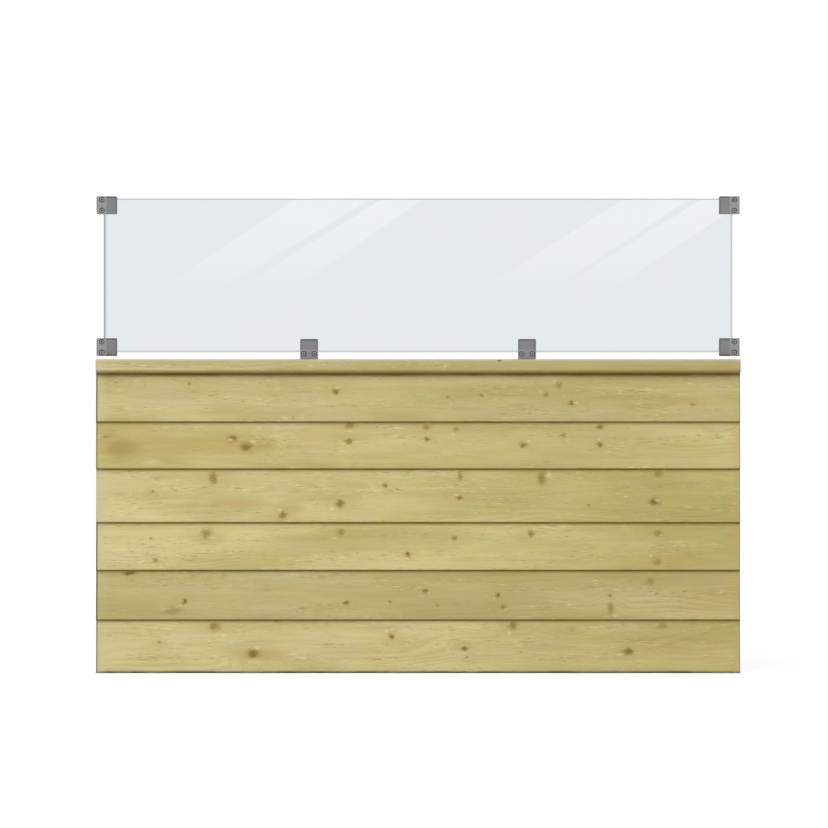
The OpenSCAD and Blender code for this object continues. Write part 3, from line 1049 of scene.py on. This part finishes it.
print("strip lights:", len(STREAKS))

# %% [markdown]
# ## Screws
#
# Two countersunk screws close each clamp. One is modelled in full: a head with a cone under it, a broken
# edge round it, a hexagon socket and a shank. The others are copies. It starts as a cylinder whose top
# face is drawn out into the cone and the head by insets and extrusions, all facing up, and is then laid
# to face the front.

# %% Model a clamp screw
HEAD_R = 0.0052
NECK_R = 0.0030
SHANK_R = 0.0024
SHANK_LENGTH = 0.0135
SOCKET_R = 0.0034
SOCKET_DEPTH = 0.0026
BROKEN_EDGE = 0.0004


def draw_out(rise, radius_from, radius_to):
    """Extrudes the selected round face upwards and scales it to a new radius."""
    bpy.ops.mesh.extrude_region_move(TRANSFORM_OT_translate={"value": (0, 0, rise)})
    if radius_from != radius_to:
        factor = radius_to / radius_from
        bpy.ops.transform.resize(value=(factor, factor, 1), center_override=(0, 0, 0))


def cut_out(piece, cutter):
    """Cuts one piece out of another with an applied boolean."""
    bpy.context.view_layer.objects.active = piece
    boolean = piece.modifiers.new("Cut", "BOOLEAN")
    boolean.object = cutter
    boolean.operation = "DIFFERENCE"
    boolean.solver = "EXACT"
    bpy.ops.object.modifier_apply(modifier="Cut")
    bpy.data.objects.remove(cutter)


def model_screw(name, shank_r, shank_length, neck_r, head_r, broken_edge):
    """A countersunk screw that stands on end, the top of its head at the origin."""
    head_height = head_r - neck_r
    middle = (0, 0, -head_height - shank_length / 2)
    bpy.ops.mesh.primitive_cylinder_add(vertices=48, radius=shank_r, depth=shank_length, location=middle)
    bpy.ops.object.transform_apply()
    screw = start_piece(name)
    pick(screw, "polygons", lambda face: face.normal.z > SQUARE_ON)
    draw_out(0, shank_r, neck_r)
    draw_out(head_height - broken_edge, neck_r, head_r)
    draw_out(broken_edge, head_r, head_r - broken_edge)
    bpy.ops.object.mode_set(mode="OBJECT")
    return screw


clamp_screw = model_screw("clamp_screw", SHANK_R, SHANK_LENGTH, NECK_R, HEAD_R, BROKEN_EDGE)
bpy.ops.mesh.primitive_cylinder_add(vertices=6, radius=SOCKET_R, depth=2 * SOCKET_DEPTH)
cut_out(clamp_screw, bpy.context.object)
print("clamp screw:", len(clamp_screw.data.polygons), "faces")

# %% [markdown]
# The wood screws that hold the timber together are slimmer, and have a cross recess for the driver.

# %% Model a wood screw
WOOD_HEAD_R = 0.0043
WOOD_NECK_R = 0.0020
WOOD_SHANK_R = 0.0018
WOOD_SHANK_LENGTH = 0.030
WOOD_BROKEN_EDGE = 0.0003
RECESS_LENGTH = 0.0052
RECESS_WIDTH = 0.0012
RECESS_DEPTH = 0.0018

wood_screw = model_screw(
    "wood_screw", WOOD_SHANK_R, WOOD_SHANK_LENGTH, WOOD_NECK_R, WOOD_HEAD_R, WOOD_BROKEN_EDGE
)
size = (RECESS_LENGTH, RECESS_WIDTH, 2 * RECESS_DEPTH)
for turn in (0, 90):
    bpy.ops.mesh.primitive_cube_add(size=1, rotation=(0, 0, math.radians(turn)), scale=size)
    cut_out(wood_screw, bpy.context.object)
print("wood screw:", len(wood_screw.data.polygons), "faces")

# %% [markdown]
# The clamp screws are bright where the key has not marked them. Down in each socket and cross recess the
# faces get a near-black material, which is painted shade for the dark inside the hole. The wood screws are
# zinc plated, a little yellow.

# %% Screw metals
SCREW_POLISH = 0.30
STEEL = (colour(172, 172, 170), colour(208, 208, 206))
ZINC = (colour(168, 160, 132), colour(196, 190, 164))
HAIR = 0.0001


def screw_metal(name, dark, bright):
    made, tree, shader, place = new_material(name)
    cloud = noise(tree, place, (300, 300, 300), 3.0)
    fill(tree, shader, {
        "Base Color": mix(tree, spread(tree, cloud, *USUAL), dark, bright),
        "Metallic": 1.0,
        "Roughness": maths(tree, "MULTIPLY_ADD", cloud, 0.2, SCREW_POLISH),
        "Normal": bump(tree, noise(tree, place, (1800, 1800, 1800)), 0.2, FINE_DEPTH),
    })
    return made


# Painted shade: a near-black material for the faces down in each socket and recess
socket_shade, tree, shader, place = new_material("Socket shade")
socket_mottle = noise(tree, place, (700, 700, 700))
fill(tree, shader, {
    "Base Color": mix(tree, socket_mottle, colour(14, 14, 14), colour(30, 29, 28)),
    "Roughness": maths(tree, "MULTIPLY_ADD", socket_mottle, 0.3, 0.5),
})
clamp_screw.data.materials.append(screw_metal("Screw steel", *STEEL))
wood_screw.data.materials.append(screw_metal("Zinc plate", *ZINC))
# The faces down in each socket and recess get the painted shade
for screw, recess_r in ((clamp_screw, SOCKET_R), (wood_screw, RECESS_LENGTH / 2)):
    screw.data.materials.append(socket_shade)
    for face in screw.data.polygons:
        in_recess = -SOCKET_DEPTH - HAIR < face.center.z < -HAIR
        near_axis = face.center.xy.length < recess_r
        face.material_index = 1 if in_recess and near_axis else 0
print("screw metals ready")

# %% [markdown]
# Each copy has its own mesh, which is moved to its place with the origin left at the frame's. The clamp
# screws sit a little below the faces of the clamps. Every board is fixed to each batten through the back,
# at the middle of its height, and the rail is screwed down into the battens from above.

# %% Place the screws
CLAMP_SCREW_SUNK = 0.0014
WOOD_SCREW_SUNK = 0.0003
TO_FRONT = (math.radians(90), 0, 0)
TO_BACK = (math.radians(-90), 0, 0)
UP = (0, 0, 0)


def place_screw(screw, name, place, facing):
    bpy.ops.object.select_all(action="DESELECT")
    screw.select_set(True)
    bpy.context.view_layer.objects.active = screw
    bpy.ops.object.duplicate(linked=False)
    copy = bpy.context.object
    copy.name = copy.data.name = name
    copy.rotation_euler = facing
    copy.location = place
    settle()
    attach(copy, "root")


placed = 0
for clamp in clamps:
    low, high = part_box(clamp + "_cover")
    middle = (low + high) / 2
    for side in (-1, 1):
        across = side * SCREW_PITCH / 2
        if "middle" in clamp:
            x, z = middle.x + across, low.z + SCREW_INSET
        else:
            x = low.x + SCREW_INSET if "left" in clamp else high.x - SCREW_INSET
            z = middle.z + across
        end = "a" if side < 0 else "b"
        place_screw(clamp_screw, f"{clamp}_screw_{end}", (x, low.y + CLAMP_SCREW_SUNK, z), TO_FRONT)
        placed += 1

for batten in BATTEN_KNOTS:
    low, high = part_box(batten)
    x = (low.x + high.x) / 2
    for board in LOGS:
        board_low, board_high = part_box(board)
        z = (board_low.z + board_high.z) / 2
        place_screw(wood_screw, f"{batten}_screw_{board}", (x, high.y - WOOD_SCREW_SUNK, z), TO_BACK)
        placed += 1
    y = (low.y + high.y) / 2
    place_screw(wood_screw, f"rail_screw_{batten}", (x, y, rail_high.z - WOOD_SCREW_SUNK), UP)
    placed += 1
bpy.data.objects.remove(clamp_screw)
bpy.data.objects.remove(wood_screw)
print("placed", placed, "screws")
